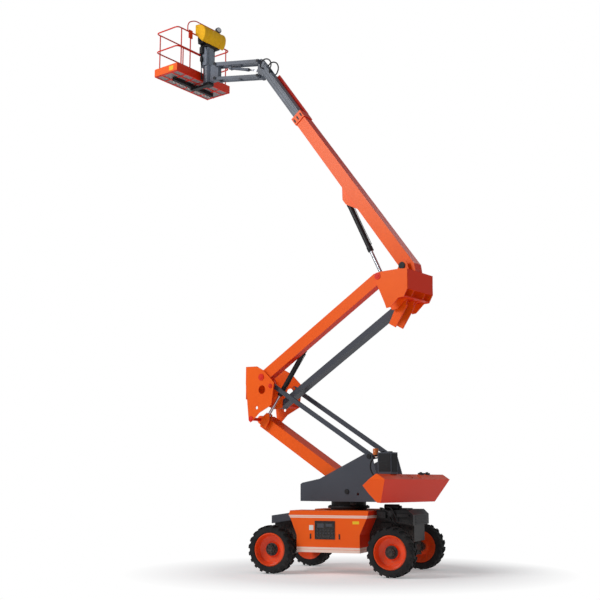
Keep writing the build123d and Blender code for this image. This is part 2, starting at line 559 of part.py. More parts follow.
RAIL_LEVELS = (RAIL_HEIGHT, RAIL_HEIGHT * 0.55)
with BuildPart() as platform_rails:
    corners = [(PLATFORM_FAR_X + RAIL_RADIUS, -HALF + RAIL_RADIUS), (PLATFORM_NEAR_X - RAIL_RADIUS, -HALF + RAIL_RADIUS),
               (PLATFORM_NEAR_X - RAIL_RADIUS, HALF - RAIL_RADIUS), (PLATFORM_FAR_X + RAIL_RADIUS, HALF - RAIL_RADIUS)]
    for level in RAIL_LEVELS:
        z = PLATFORM_FLOOR_Z + level
        with BuildLine(Plane.XY.offset(z)) as loop:
            FilletPolyline(*corners, radius=RAIL_CORNER, close=True)
        start = loop.line @ 0
        with BuildSketch(Plane(origin=start, z_dir=loop.line % 0)) as section:
            Circle(RAIL_RADIUS)
        sweep(section.sketch, path=loop.line)
    for x in (PLATFORM_FAR_X + RAIL_RADIUS, PLATFORM_NEAR_X - RAIL_RADIUS):
        for y in (-HALF + 150, 0, HALF - 150):
            bar((x, y, PLATFORM_FLOOR_Z + KICK_HEIGHT), (x, y, PLATFORM_FLOOR_Z + RAIL_HEIGHT), RAIL_RADIUS - 2)
finish(platform_rails, "platform_rails")

COLUMN_FOOT_Z = POST_UPPER_PIN[1] + 30 + PAD_GAP
with BuildPart() as platform_column:
    block((PLATFORM_NEAR_X, -110, COLUMN_FOOT_Z), (ROTATOR_X + 60, 110, PLATFORM_FLOOR_Z + 870))
finish(platform_column, "platform_column")

BRACKET_TOP_Z = POST_LOWER_PIN[1] - 20 - PAD_GAP
RACK_Z = PLATFORM_FLOOR_Z - FLOOR_DEPTH
with BuildPart() as platform_bracket:
    block((ROTATOR_X - 100, -90, BRACKET_TOP_Z - 70), (ROTATOR_X + 100, 90, BRACKET_TOP_Z))
    block((ROTATOR_X - 560, -60, BRACKET_TOP_Z - 60), (ROTATOR_X - 100, 60, BRACKET_TOP_Z - 10))
    block((ROTATOR_X - 560, -700, BRACKET_TOP_Z - 10), (ROTATOR_X - 480, 700, RACK_Z))
finish(platform_bracket, "platform_bracket")
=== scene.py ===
from math import cos, pi, radians, sin

import bmesh
import bpy
from mathutils import Matrix, Vector


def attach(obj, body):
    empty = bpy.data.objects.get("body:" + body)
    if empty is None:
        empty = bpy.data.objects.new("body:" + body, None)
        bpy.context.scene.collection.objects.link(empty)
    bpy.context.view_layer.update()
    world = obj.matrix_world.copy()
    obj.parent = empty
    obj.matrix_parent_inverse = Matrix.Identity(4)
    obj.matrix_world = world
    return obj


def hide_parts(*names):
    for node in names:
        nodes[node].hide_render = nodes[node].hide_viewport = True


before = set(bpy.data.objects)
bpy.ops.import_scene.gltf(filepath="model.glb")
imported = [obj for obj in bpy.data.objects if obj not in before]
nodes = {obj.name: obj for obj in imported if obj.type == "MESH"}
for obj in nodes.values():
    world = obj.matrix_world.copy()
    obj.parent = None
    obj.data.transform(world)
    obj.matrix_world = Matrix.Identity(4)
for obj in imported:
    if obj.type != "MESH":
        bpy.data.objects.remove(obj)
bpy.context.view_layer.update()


# ------------------------------------------------------------------ tyres
# Four rough-terrain tyres of black rubber, seated on their rims. Each is turned about its axle
# from one profile, and two rows of chunky lugs stand on the tread and lean over its shoulders.
class Signal:
    """A socket of a node tree, with arithmetic."""

    def __init__(self, paint, socket):
        self.paint = paint
        self.socket = socket

    def math(self, operation, other=0.0):
        return self.paint.add("Math", {"operation": operation}, [self, other])

    def __add__(self, other):
        return self.math("ADD", other)

    def __sub__(self, other):
        return self.math("SUBTRACT", other)

    def __rsub__(self, other):
        return self.paint.add("Math", {"operation": "SUBTRACT"}, [other, self])

    def __mul__(self, other):
        return self.math("MULTIPLY", other)

    def __truediv__(self, other):
        return self.math("DIVIDE", other)

    __radd__ = __add__
    __rmul__ = __mul__

    def above(self, edge, soft=0.02):
        """0 below the edge and 1 above it, over a soft width."""
        return ((self - edge) / soft + 0.5).math("MAXIMUM", 0.0).math("MINIMUM", 1.0)

    def between(self, low, high, soft=0.002):
        """1 between two levels and 0 outside them."""
        return self.above(low, soft) * (1.0 - self.above(high, soft))


def tint(value):
    """A colour of three numbers gets its fourth; a signal stays."""
    return value if isinstance(value, Signal) else (*value, 1.0)


class Paint:
    """A material built round one Principled shader, with patterns in metres on the object."""

    def __init__(self, name, roughness=0.5, metallic=0.0, coat=0.0, specular=0.5):
        self.material = bpy.data.materials.new(name)
        self.material.use_nodes = True
        self.tree = self.material.node_tree
        self.shader = self.tree.nodes["Principled BSDF"]
        for socket, value in (("Roughness", roughness), ("Metallic", metallic), ("Coat Weight", coat),
                              ("Specular IOR Level", specular)):
            self.shader.inputs[socket].default_value = value
        self.coordinates = self.add("TexCoord", {}, [], "Object")

    def add(self, kind, settings, inputs, output=0):
        """Add a node, set it, link or fill its inputs, and give back one output."""
        node = self.tree.nodes.new("ShaderNode" + kind)
        for key, value in settings.items():
            setattr(node, key, value)
        pairs = inputs.items() if isinstance(inputs, dict) else enumerate(inputs)
        for key, value in pairs:
            if isinstance(value, Signal):
                self.tree.links.new(value.socket, node.inputs[key])
            else:
                node.inputs[key].default_value = value
        return Signal(self, node.outputs[output])

    def mix(self, factor, first, second):
        """Blend two colours by a factor."""
        inputs = {0: factor, 6: tint(first), 7: tint(second)}
        return self.add("Mix", {"data_type": "RGBA"}, inputs, 2)

    def noise(self, scale, detail):
        return self.add("TexNoise", {}, {"Vector": self.coordinates, "Scale": scale, "Detail": detail})

    def axes(self, vector=None):
        """The three parts of a vector, or of the point on the object."""
        outputs = self.add("SeparateXYZ", {}, [vector or self.coordinates]).socket.node.outputs
        return [Signal(self, output) for output in outputs]

    def colour(self, value):
        self.tree.links.new(value.socket, self.shader.inputs["Base Color"])

    def rough(self, value):
        self.tree.links.new(value.socket, self.shader.inputs["Roughness"])

    def bump(self, height, strength, distance):
        """Lift the surface by a height signal."""
        inputs = {"Height": height, "Strength": strength, "Distance": distance}
        normal = self.add("Bump", {}, inputs)
        self.tree.links.new(normal.socket, self.shader.inputs["Normal"])


def dress(paint, *names):
    """Give solids their finish."""
    for name in names:
        mesh = nodes[name].data
        mesh.materials.clear()
        mesh.materials.append(paint.material)


class Piece:
    """A piece in the making, whose shapes are given in a frame of its own."""

    def __init__(self, name, place=Matrix.Identity(4)):
        self.name = name
        self.place = place
        self.bm = bmesh.new()

    def vert(self, point):
        return self.bm.verts.new(self.place @ Vector(point))

    def box(self, low, high):
        low, high = Vector(low), Vector(high)
        size = Matrix.Diagonal((*(high - low), 1))
        place = self.place @ Matrix.Translation((low + high) / 2) @ size
        bmesh.ops.create_cube(self.bm, size=1, matrix=place)

    def rod(self, start, end, radius, sides=20, end_radius=None):
        """A round bar or cone between two points."""
        start, end = Vector(start), Vector(end)
        along = (end - start).normalized()
        first = along.orthogonal().normalized()
        turn = Matrix((first.cross(along), first, along)).transposed().to_4x4()
        place = self.place @ Matrix.Translation((start + end) / 2) @ turn
        made = bmesh.ops.create_cone(self.bm, cap_ends=True, segments=sides, radius1=radius,
                                     radius2=radius if end_radius is None else end_radius,
                                     depth=(end - start).length, matrix=place)
        for face in {face for vert in made["verts"] for face in vert.link_faces}:
            face.smooth = len(face.verts) == 4

    def plate(self, outline, low, high):
        """A flat plate with an outline in X and Z, between two depths in Y."""
        face = self.bm.faces.new([self.vert((x, low, z)) for x, z in outline])
        made = bmesh.ops.extrude_face_region(self.bm, geom=[face])
        grown = [part for part in made["geom"] if isinstance(part, bmesh.types.BMVert)]
        across = self.place.to_3x3() @ Vector((0, high - low, 0))
        bmesh.ops.translate(self.bm, verts=grown, vec=across)

    def ring(self, points):
        """A closed line through points, as its vertices and edges."""
        verts = [self.vert(point) for point in points]
        edges = [self.bm.edges.new(pair) for pair in zip(verts, verts[1:] + verts[:1])]
        return verts, edges

    def loft(self, sections, smooth=False):
        """A skin over sections of as many points each, closed at both ends."""
        rings = [self.ring(points) for points in sections]
        for (_, first), (_, second) in zip(rings, rings[1:]):
            made = bmesh.ops.bridge_loops(self.bm, edges=first + second)
            for face in made["faces"]:
                face.smooth = smooth
        self.bm.faces.new(rings[0][0])
        self.bm.faces.new(rings[-1][0])

    def pipe(self, points, radius, sides=10, steps=6):
        """A round tube along a smooth line through the points."""
        knots = [Vector(point) for point in points]
        knots = [knots[0] * 2 - knots[1], *knots, knots[-1] * 2 - knots[-2]]
        path = []
        for before, here, after, beyond in zip(knots, knots[1:], knots[2:], knots[3:]):
            for step in range(steps):
                t = step / steps
                path.append(here + (after - before) * t / 2
                            + (2 * before - 5 * here + 4 * after - beyond) * t * t / 2
                            + (3 * here - before - 3 * after + beyond) * t ** 3 / 2)
        path.append(knots[-2])
        normal = (path[1] - path[0]).orthogonal().normalized()
        sections = []
        for i, middle in enumerate(path):
            way = (path[min(i + 1, len(path) - 1)] - path[max(i - 1, 0)]).normalized()
            normal = (normal - way * normal.dot(way)).normalized()
            other = way.cross(normal)
            angles = [2 * pi * k / sides for k in range(sides)]
            sections.append([middle + (normal * cos(a) + other * sin(a)) * radius for a in angles])
        self.loft(sections, smooth=True)

    def done(self, paint, body, bevel=0.0):
        """Close the mesh, give it its finish and let it ride on a body."""
        bmesh.ops.recalc_face_normals(self.bm, faces=self.bm.faces)
        mesh = bpy.data.meshes.new(self.name)
        self.bm.to_mesh(mesh)
        self.bm.free()
        obj = bpy.data.objects.new(self.name, mesh)
        bpy.context.scene.collection.objects.link(obj)
        mesh.materials.append(paint.material)
        if bevel:
            rounded = obj.modifiers.new("rounded", "BEVEL")
            rounded.width = bevel
            rounded.segments = 2
            rounded.limit_method = "ANGLE"
        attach(obj, body)
        return obj


# The chassis stands turned under the booms.
CHASSIS = Matrix.Rotation(radians(15.26), 4, "Z")
HALF_WHEELBASE = 1.25
WHEEL_MIDDLE_Y = 1.0575
AXLE_Z = 0.475
WHEELS = {"front_near": (-1, -1), "front_far": (-1, 1), "rear_near": (1, -1), "rear_far": (1, 1)}


def wheel_place(wheel):
    """A wheel's frame: its middle at the origin and Y outwards along the axle."""
    end, side = WHEELS[wheel]
    middle = Matrix.Translation((end * HALF_WHEELBASE, side * WHEEL_MIDDLE_Y, AXLE_Z))
    return CHASSIS @ middle @ Matrix.Scale(side, 4, (0, 1, 0))


rubber = Paint("rubber", 0.82, 0.0, 0.0, 0.3)
rubber_grain = rubber.noise(55.0, 4.0)
rubber_dust = rubber.noise(4.0, 3.0).above(0.55, 0.3) * 0.3
rubber.colour(rubber.mix(rubber_dust, (0.010, 0.010, 0.011), (0.055, 0.050, 0.045)))
rubber.rough(rubber_grain * 0.15 + 0.74)
rubber.bump(rubber_grain, 0.3, 0.002)

# Half a section from the bead to the tread, as (distance from the wheel's middle, radius).
SIDEWALL = ((0.1575, 0.327), (0.1715, 0.337), (0.1760, 0.360), (0.1775, 0.395), (0.172, 0.420),
            (0.150, 0.438), (0.100, 0.446), (0.0, 0.449))
PROFILE = [(-t, r) for t, r in SIDEWALL] + [(t, r) for t, r in SIDEWALL[-2::-1]]
TYRE_STEPS = 72
LUGS = 20
# A lug from the middle of the tread outwards: distance, foot and top radius, lean and half width
# in radians.
LUG_SECTIONS = ((0.008, 0.440, 0.4745, 0.0, 0.058), (0.100, 0.438, 0.4745, 0.09, 0.066),
                (0.150, 0.425, 0.469, 0.13, 0.074), (0.1772, 0.400, 0.447, 0.14, 0.074))
LUG_TAPER = 0.86
for wheel in WHEELS:
    dress(rubber, "tyre_" + wheel)
    place = wheel_place(wheel)
    tyre = Piece("lugged_tyre_" + wheel, place)
    verts, edges = tyre.ring([(r, t, 0) for t, r in PROFILE])
    bmesh.ops.spin(tyre.bm, geom=verts + edges, cent=place.translation,
                   axis=place.to_3x3() @ Vector((0, 1, 0)), angle=2 * pi, steps=TYRE_STEPS, use_merge=True)
    for face in tyre.bm.faces:
        face.smooth = True
    for half in (-1, 1):
        for i in range(LUGS):
            sections = []
            for t, low, high, lean, wide in LUG_SECTIONS:
                middle = 2 * pi * (i + 0.25 * half) / LUGS + lean
                corners = ((-wide, low), (wide, low), (wide * LUG_TAPER, high), (-wide * LUG_TAPER, high))
                sections.append([(r * cos(middle + a), half * t, r * sin(middle + a)) for a, r in corners])
            tyre.loft(sections)
    lugged = tyre.done(rubber, "wheel_" + wheel)
    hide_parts("tyre_" + wheel)


# ------------------------------------------------------------------ rims and hubs
# Pressed steel rims, sprayed red-orange. A black hub plate with a ring of nuts and a stepped cap
# is bolted to each dish.
def painted(name, base, deep, roughness=0.42, coat=0.12, dust=0.25, painted_shade=None):
    """Sprayed machine paint: faint mottling, orange peel, and dust low on the machine.

    A second, deeper colour, painted_shade, shows on the faces that look back or down: painted shade."""
    paint = Paint(name, roughness, 0.0, coat, 0.2)
    paint.shader.inputs["Coat Roughness"].default_value = 0.2
    cloud = paint.noise(1.3, 4.0)
    grain = paint.noise(38.0, 2.0)
    mottled = paint.mix(cloud.above(0.5, 0.5), base, deep)
    if painted_shade:
        # Painted shade: faces whose normal looks back (+X) or down get the deeper painted_shade colour.
        way = paint.axes(paint.add("NewGeometry", {}, [], "Normal"))
        back = way[0].math("MAXIMUM", way[2] * -0.9)
        mottled = paint.mix(back.above(0.5, 0.3), mottled, painted_shade)
    height = paint.axes()[2]
    dirt = (1.0 - height.above(0.7, 1.2)) * grain.above(0.52, 0.3) * dust
    paint.colour(paint.mix(dirt, mottled, (0.30, 0.25, 0.20)))
    paint.rough(grain * 0.12 + (roughness - 0.06) + dirt * 0.4)
    paint.bump(grain, 0.05, 0.0015)
    # plain keeps the mottling and, where given, the painted shade, without the dust.
    paint.plain = mottled
    return paint


rim_red = painted("rim_paint", (0.96, 0.085, 0.004), (0.90, 0.06, 0.003), 0.3, 0.3, 0.25)
black = painted("black_paint", (0.011, 0.011, 0.013), (0.02, 0.02, 0.022), 0.5, 0.1, 0.4)
HUB_FACE_Y = 0.0302
HUB_PLATE_Y = 0.050
NUTS = 9
NUT_CIRCLE = 0.106
for wheel in WHEELS:
    dress(rim_red, "rim_" + wheel)
    hub = Piece("hub_cap_" + wheel, wheel_place(wheel))
    hub.rod((0, HUB_FACE_Y, 0), (0, HUB_PLATE_Y, 0), 0.128, 32)
    hub.rod((0, HUB_PLATE_Y, 0), (0, 0.092, 0), 0.082, 28, 0.074)
    hub.rod((0, 0.092, 0), (0, 0.112, 0), 0.052, 24, 0.044)
    for i in range(NUTS):
        a = 2 * pi * i / NUTS
        x, z = NUT_CIRCLE * cos(a), NUT_CIRCLE * sin(a)
        hub.rod((x, HUB_PLATE_Y, z), (x, HUB_PLATE_Y + 0.024, z), 0.015, 6)
    hub.done(black, "wheel_" + wheel, 0.003)

# ------------------------------------------------------------------ chassis, axles and cowl
# A welded frame on two axles, the steered one with knuckles, all in black paint, and a cowl of
# slate grey over the front end.
dress(black, "chassis_frame", "front_axle", "rear_axle", "knuckle_near", "knuckle_far")
SLATE = (0.068, 0.074, 0.092)
slate = painted("slate_paint", SLATE, (0.054, 0.059, 0.074), 0.45, 0.15)
dress(slate, "front_cowl")

# ------------------------------------------------------------------ side covers
# Orange covers of pressed sheet, held by black latches, with a pale stripe under the shoulder and
# a pale band at the foot, each split by a thin line. The near one carries the switch panel.
ORANGE = (0.96, 0.122, 0.002)
ORANGE_DEEP = (0.90, 0.102, 0.002)
# A deep red painted on orange faces that look back or down, as painted shade.
ORANGE_PAINTED_SHADE = (0.80, 0.030, 0.003)
STRIPES = ((1.098, 1.150), (0.43, 0.532))
STRIPE_LINES = ((1.121, 1.127), (0.486, 0.492))
# The covers' faces that look back or down get painted shade.
cover_paint = painted("cover_paint", ORANGE, ORANGE_DEEP, painted_shade=ORANGE_PAINTED_SHADE)
level = cover_paint.axes()[2]
marks = 0.0
for low, high in STRIPES:
    marks = level.between(low, high) + marks
for low, high in STRIPE_LINES:
    marks = marks - level.between(low, high)
cover_paint.colour(cover_paint.mix(marks, cover_paint.plain, (0.90, 0.66, 0.56)))
dress(cover_paint, "side_cover_near", "side_cover_far")

COVER_Y = 1.0
PANEL_LOW_X, PANEL_HIGH_X = -0.345, 0.045
PANEL_LOW_Z, PANEL_HIGH_Z = 0.702, 1.023
FRAME_WIDTH = 0.017
panel = Piece("switch_panel", CHASSIS)
panel.box((PANEL_LOW_X, -COVER_Y - 0.004, PANEL_LOW_Z), (PANEL_HIGH_X, -COVER_Y + 0.002, PANEL_HIGH_Z))
left, right = PANEL_LOW_X - FRAME_WIDTH, PANEL_HIGH_X + FRAME_WIDTH
foot, head = PANEL_LOW_Z - FRAME_WIDTH, PANEL_HIGH_Z + FRAME_WIDTH
for low_x, low_z, high_x, high_z in ((left, foot, PANEL_LOW_X, head), (PANEL_HIGH_X, foot, right, head),
                                     (PANEL_LOW_X, PANEL_HIGH_Z, PANEL_HIGH_X, head),
                                     (PANEL_LOW_X, foot, PANEL_HIGH_X, PANEL_LOW_Z)):
    panel.box((low_x, -COVER_Y - 0.012, low_z), (high_x, -COVER_Y + 0.002, high_z))
panel.done(black, "chassis", 0.002)
dials = Piece("panel_dials", CHASSIS)
for z, radius in ((0.745, 0.010), (0.805, 0.013), (0.865, 0.010)):
    for k in range(6):
        x = -0.305 + 0.062 * k
        dials.rod((x, -COVER_Y - 0.004, z), (x, -COVER_Y - 0.016, z), radius, 12)
dials.box((-0.31, -COVER_Y - 0.008, 0.91), (-0.17, -COVER_Y - 0.003, 0.99))
dials.box((-0.13, -COVER_Y - 0.008, 0.93), (0.01, -COVER_Y - 0.003, 0.985))
dials.done(slate, "chassis", 0.001)
latches = Piece("cover_latches", CHASSIS)
for low, high in ((-COVER_Y - 0.012, -COVER_Y + 0.002), (COVER_Y - 0.002, COVER_Y + 0.012)):
    for x in (-0.455, 0.155):
        latches.box((x - 0.013, low, 0.69), (x + 0.013, high, 0.79))
latches.done(black, "chassis", 0.004)

pale = painted("pale_plate", (0.80, 0.78, 0.74), (0.70, 0.68, 0.64), 0.5, 0.1, 0.1)
yellow_sign = painted("yellow_plate", (0.92, 0.60, 0.02), (0.84, 0.52, 0.02), 0.45, 0.2, 0.1)
signs = Piece("cover_blank_signs", CHASSIS)
signs.box((0.43, -COVER_Y - 0.0015, 0.985), (0.565, -COVER_Y + 0.001, 1.04))
signs.done(yellow_sign, "chassis")
plates = Piece("cover_blank_plates", CHASSIS)
plates.box((-0.485, -COVER_Y - 0.0015, 0.86), (-0.395, -COVER_Y + 0.001, 0.955))
plates.done(pale, "chassis")

# ------------------------------------------------------------------ engine end
# A black sheet hood over the engine. Round it the machinery is open: a filter and its pipe, boxes,
# a grille of six bars, a fan housing, and three rubber hoses that drop from the hood.
dress(black, "engine_hood")
HOOD_TOP_Z = 1.255
HOOD_SIDE_Y = -0.579
HOOD_END_X = 1.538
engine = Piece("engine_parts", CHASSIS)
engine.rod((0.92, -0.44, 1.310), (1.22, -0.44, 1.310), 0.055, 24)
engine.rod((1.22, -0.44, 1.310), (1.27, -0.44, 1.310), 0.030, 20)
engine.rod((0.98, 0.12, HOOD_TOP_Z), (0.98, 0.12, 1.345), 0.045, 18)
engine.box((0.86, -0.30, HOOD_TOP_Z), (1.04, -0.12, 1.300))
engine.box((1.14, -0.30, HOOD_TOP_Z), (1.38, -0.04, 1.285))
engine.box((1.26, -0.55, HOOD_TOP_Z), (1.40, -0.40, 1.292))
for k in range(6):
    z = 0.975 + 0.030 * k
    engine.box((HOOD_END_X, -0.42, z), (HOOD_END_X + 0.012, 0.42, z + 0.014))
engine.box((0.83, -0.660, 1.10), (1.00, HOOD_SIDE_Y, 1.22))
engine.rod((1.10, HOOD_SIDE_Y, 1.18), (1.10, -0.655, 1.18), 0.058, 22)
engine.rod((1.10, -0.655, 1.18), (1.10, -0.668, 1.18), 0.040, 20)
engine.box((1.22, -0.640, 1.12), (1.46, HOOD_SIDE_Y, 1.18))
engine.box((0.82, -0.42, 0.80), (1.05, -0.379, 1.00))
engine.rod((1.16, -0.379, 0.90), (1.16, -0.44, 0.90), 0.045, 20)
engine.done(black, "chassis", 0.004)

hose_black = Paint("hose_rubber", 0.6, 0.0, 0.0, 0.4)
hose_rub = hose_black.noise(200.0, 2.0)
hose_black.colour(hose_black.mix(hose_rub, (0.008, 0.008, 0.009), (0.022, 0.022, 0.024)))
hose_black.bump(hose_rub, 0.2, 0.001)
engine_hoses = Piece("engine_hoses", CHASSIS)
for y, x, lift in ((-0.60, 0.86, 0.03), (-0.63, 0.92, 0.0), (-0.615, 1.0, 0.05)):
    engine_hoses.pipe([(x, y + 0.14, 1.262), (x + 0.01, y + 0.01, 1.262 + lift),
                       (x + 0.10, y - 0.01, 1.24 + lift), (x + 0.20, y - 0.015, 1.12),
                       (x + 0.24, y + 0.05, 1.02), (x + 0.27, y + 0.20, 0.95)], 0.013)
engine_hoses.done(hose_black, "chassis")

# ------------------------------------------------------------------ slewing ring
# A black steel bearing on a wider step with a ring of bolts, and the cap of the slewing motor,
# which is fixed to the turntable beside it.
dress(black, "slew_ring")
STEP_RADIUS = 0.43
BOLT_CIRCLE = 0.395
RING_BOLTS = 30
ring_step = Piece("ring_step", CHASSIS)
ring_step.rod((0, 0, 1.2705), (0, 0, 1.318), STEP_RADIUS, 72)
for i in range(RING_BOLTS):
    a = 2 * pi * i / RING_BOLTS
    x, y = BOLT_CIRCLE * cos(a), BOLT_CIRCLE * sin(a)
    ring_step.rod((x, y, 1.317), (x, y, 1.333), 0.012, 6)
ring_step.done(black, "chassis", 0.003)
motor = Piece("slewing_motor")
motor.rod((0.36, -0.36, 1.345), (0.36, -0.36, 1.409), 0.06, 24)
motor.done(black, "turntable", 0.003)

# ------------------------------------------------------------------ counterweight
# An orange casting behind the turntable. Its skin closes the back of the riser slot and is parted
# where the upper casting's plates pass when the machine is stowed. Two fillers stand on top.
# The orange parts' faces that look back or down get painted shade.
orange = painted("orange_paint", ORANGE, ORANGE_DEEP, painted_shade=ORANGE_PAINTED_SHADE)
dress(orange, "counterweight")
WEIGHT_TOP_Z = 1.952
CHAMFER_X = 1.530
CHAMFER_SLOPE = 102 / 161
SKIN = 0.014
LUG_SLOT_HALF = 0.175
LANES = ((0.0, 0.122), (0.158, 0.211), (0.239, 0.483), (0.511, 0.525))
skin = Piece("counterweight_skin")
for low, high in LANES:
    end_x = 1.663 if high <= LUG_SLOT_HALF else 1.621
    end_z = WEIGHT_TOP_Z - (end_x - CHAMFER_X) * CHAMFER_SLOPE
    outline = [(CHAMFER_X, WEIGHT_TOP_Z), (end_x, end_z), (end_x, end_z - SKIN),
               (1.500, WEIGHT_TOP_Z - SKIN), (1.500, WEIGHT_TOP_Z)]
    skin.plate(outline, low, high)
    skin.plate(outline, -high, -low)
skin.plate([(1.6626, 1.797), (1.452, 1.404), (1.370, 1.410), (1.370, 1.421), (1.4465, 1.416),
            (1.650, 1.797)], -LUG_SLOT_HALF, LUG_SLOT_HALF)
skin.done(orange, "turntable")
fillers = Piece("counterweight_fillers")
for y in (0.295, 0.535):
    fillers.box((1.492, y, 1.930), (1.548, y + 0.15, 1.982))
    fillers.rod((1.520, y + 0.075, 1.982), (1.520, y + 0.075, 1.998), 0.026, 20)
fillers.done(black, "turntable", 0.002)

# ------------------------------------------------------------------ turntable and cabinet
# Welded slate side plates with the black heads of the risers' pins. On the near side stand a
# sheet cabinet with a door and louvres, a bent grab bar, and a beacon with a ribbed amber lens.
dress(slate, "turntable_frame", "cabinet")
pins = Piece("turntable_pin_heads")
for x, z in ((0.296, 1.609), (0.84, 2.306)):
    for side in (-1, 1):
        pins.rod((x, side * 0.486, z), (x, side * 0.505, z), 0.050, 28)
pins.done(black, "turntable", 0.003)
door = Piece("cabinet_door")
door.box((1.275, -0.808, 2.00), (1.545, -0.799, 2.35))
for k in range(5):
    z = 2.06 + 0.03 * k
    door.box((1.32, -0.813, z), (1.50, -0.807, z + 0.012))
door.box((1.559, -0.775, 1.99), (1.568, -0.585, 2.34))
door.rod((1.30, -0.68, 2.369), (1.30, -0.68, 2.40), 0.03, 20)
door.rod((1.47, -0.68, 2.369), (1.47, -0.68, 2.39), 0.045, 20)
door.done(black, "turntable", 0.003)
grab = Piece("grab_bar")
grab.pipe([(1.252, -0.76, 1.90), (1.17, -0.80, 1.92), (1.10, -0.81, 2.02), (1.09, -0.81, 2.14),
           (1.14, -0.80, 2.24), (1.252, -0.76, 2.27)], 0.015)
grab.done(black, "turntable")

amber = Paint("beacon_lens", 0.18, 0.0, 0.4)
ribs = (amber.axes()[2] * 520.0).math("SINE")
# The ribs are real; the lighter and darker ambers that follow them are painted highlight and painted
# shade.
amber.colour(amber.mix(ribs.above(0.0, 1.6), (0.80, 0.20, 0.02), (0.45, 0.08, 0.006)))
amber.rough(ribs * 0.04 + 0.18)
amber.bump(ribs, 0.3, 0.002)
dress(amber, "beacon")
beacon_guard = Piece("beacon_guard")
beacon_guard.rod((1.11, -0.65, 2.300), (1.11, -0.65, 2.325), 0.060, 28)
beacon_guard.done(black, "turntable", 0.002)

# ------------------------------------------------------------------ risers, elbow and casting
# Welded orange risers and slate links that fold at the elbow and carry the upper casting. Their
# joints turn on steel pins with red heads, and the boom's own pin has black caps.
dress(orange, "lower_riser", "upper_riser", "elbow", "casting")
dress(slate, "lower_link_near", "lower_link_far", "upper_link")
red = painted("red_paint", (0.82, 0.03, 0.012), (0.68, 0.022, 0.010))
BOOM_PIN = Vector((1.5369, 0, 6.1596))
elbow_pins = Piece("elbow_pin_heads")
for x, z, radius in ((-2.2428, 3.1617, 0.062), (-1.9588, 4.0667, 0.075), (-1.6988, 3.8587, 0.05)):
    for side in (-1, 1):
        elbow_pins.rod((x, side * 0.505, z), (x, side * 0.520, z), radius, 28)
        elbow_pins.rod((x, side * 0.520, z), (x, side * 0.527, z), radius * 0.5, 20)
elbow_pins.done(red, "elbow", 0.003)
casting_pins = Piece("casting_pin_heads")
casting_pins.rod((1.1149, -0.505, 5.9466), (1.1149, -0.519, 5.9466), 0.070, 28)
casting_pins.rod((1.1149, -0.519, 5.9466), (1.1149, -0.526, 5.9466), 0.032, 20)
casting_pins.done(red, "casting", 0.003)
pivot_caps = Piece("boom_pivot_caps", Matrix.Translation(BOOM_PIN))
for side in (-1, 1):
    pivot_caps.rod((0, side * 0.233, 0), (0, side * 0.252, 0), 0.075, 28)
pivot_caps.done(black, "casting", 0.003)

# ------------------------------------------------------------------ hydraulic cylinders
# Black steel barrels with chromed rods. A gland nut closes each barrel, a collar sits behind its
# eye, and a hard line joins its two ports.
chrome = Paint("chrome_rod", 0.22, 1.0)
chrome_rub = chrome.noise(90.0, 2.0)
chrome.colour(chrome.mix(chrome_rub.above(0.6, 0.3) * 0.3, (0.55, 0.56, 0.60), (0.30, 0.30, 0.33)))
chrome.rough(chrome_rub * 0.14 + 0.16)
chrome.bump(chrome_rub, 0.05, 0.0005)
dress(black, "riser_cylinder_barrel", "boom_cylinder_barrel")
dress(chrome, "riser_cylinder_rod", "boom_cylinder_rod")
# The eye, the foot, the barrel's radius, and its share of the line between them.
CYLINDERS = {"riser_cylinder": ((-0.9288, -0.210, 4.6826), (-1.9883, -0.210, 3.2405), 0.050, 0.70),
             "boom_cylinder": ((0.0431, 0.0, 7.8298), (0.9869, 0.0, 5.9096), 0.058, 0.62)}
for name, (eye, foot, radius, share) in CYLINDERS.items():
    eye, foot = Vector(eye), Vector(foot)
    way = (foot - eye).normalized()
    side = way.cross(Vector((0, 1, 0)))
    end = eye + (foot - eye) * share
    fittings = Piece(name + "_fittings")
    fittings.rod(end - way * 0.10, end + way * 0.004, radius + 0.007, 28)
    fittings.rod(eye + way * (radius + 0.03), eye + way * (radius + 0.07), radius + 0.005, 28)
    first, second = eye + way * (radius + 0.11), end - way * 0.13
    for port in (first, second):
        fittings.rod(port + side * (radius - 0.004), port + side * (radius + 0.024), 0.015, 12)
    line_end, line_bend = side * (radius + 0.02), side * (radius + 0.022)
    fittings.pipe([first + line_end, first + line_bend + way * 0.05,
                   (first + second) / 2 + side * (radius + 0.016), second + line_bend - way * 0.05,
                   second + line_end], 0.007, 8)
    fittings.done(black, name + "_barrel", 0.002)

# ------------------------------------------------------------------ telescopic boom
# An orange main boom of folded plate and a steel blue fly with seams along its folds. A red
# cable carrier slides along the far side with the fly, and black pads line the boom's collar.
BOOM_ANGLE = radians(126.2)
BOOM = (Matrix.Translation(BOOM_PIN) @ Matrix.Rotation(-BOOM_ANGLE, 4, "Y")
        @ Matrix.Rotation(pi, 4, "X"))
STEEL = (0.15, 0.175, 0.22)
SEAMS = (-0.034, 0.032, 0.098)
SEAM_HALF = 0.006
fly_paint = painted("fly_paint", STEEL, SLATE, 0.38, 0.2, 0.0)
fly_x, _, fly_z = fly_paint.axes()
fly_level = (fly_x - BOOM_PIN.x) * sin(BOOM_ANGLE) + (fly_z - BOOM_PIN.z) * -cos(BOOM_ANGLE)
seams = 0.0
for seam in SEAMS:
    seams = fly_level.between(seam - SEAM_HALF, seam + SEAM_HALF) + seams
fly_paint.colour(fly_paint.mix(seams, fly_paint.plain, (0.035, 0.04, 0.055)))
dress(orange, "main_boom")
dress(fly_paint, "fly_boom")
carrier = Piece("cable_carrier", BOOM)
carrier.box((4.85, -0.214, 0.02), (6.28, -0.172, 0.175))
carrier.box((6.22, -0.176, 0.04), (6.28, -0.099, 0.12))
carrier.box((4.86, -0.219, 0.06), (6.26, -0.213, 0.135))
carrier.done(red, "fly_boom", 0.004)
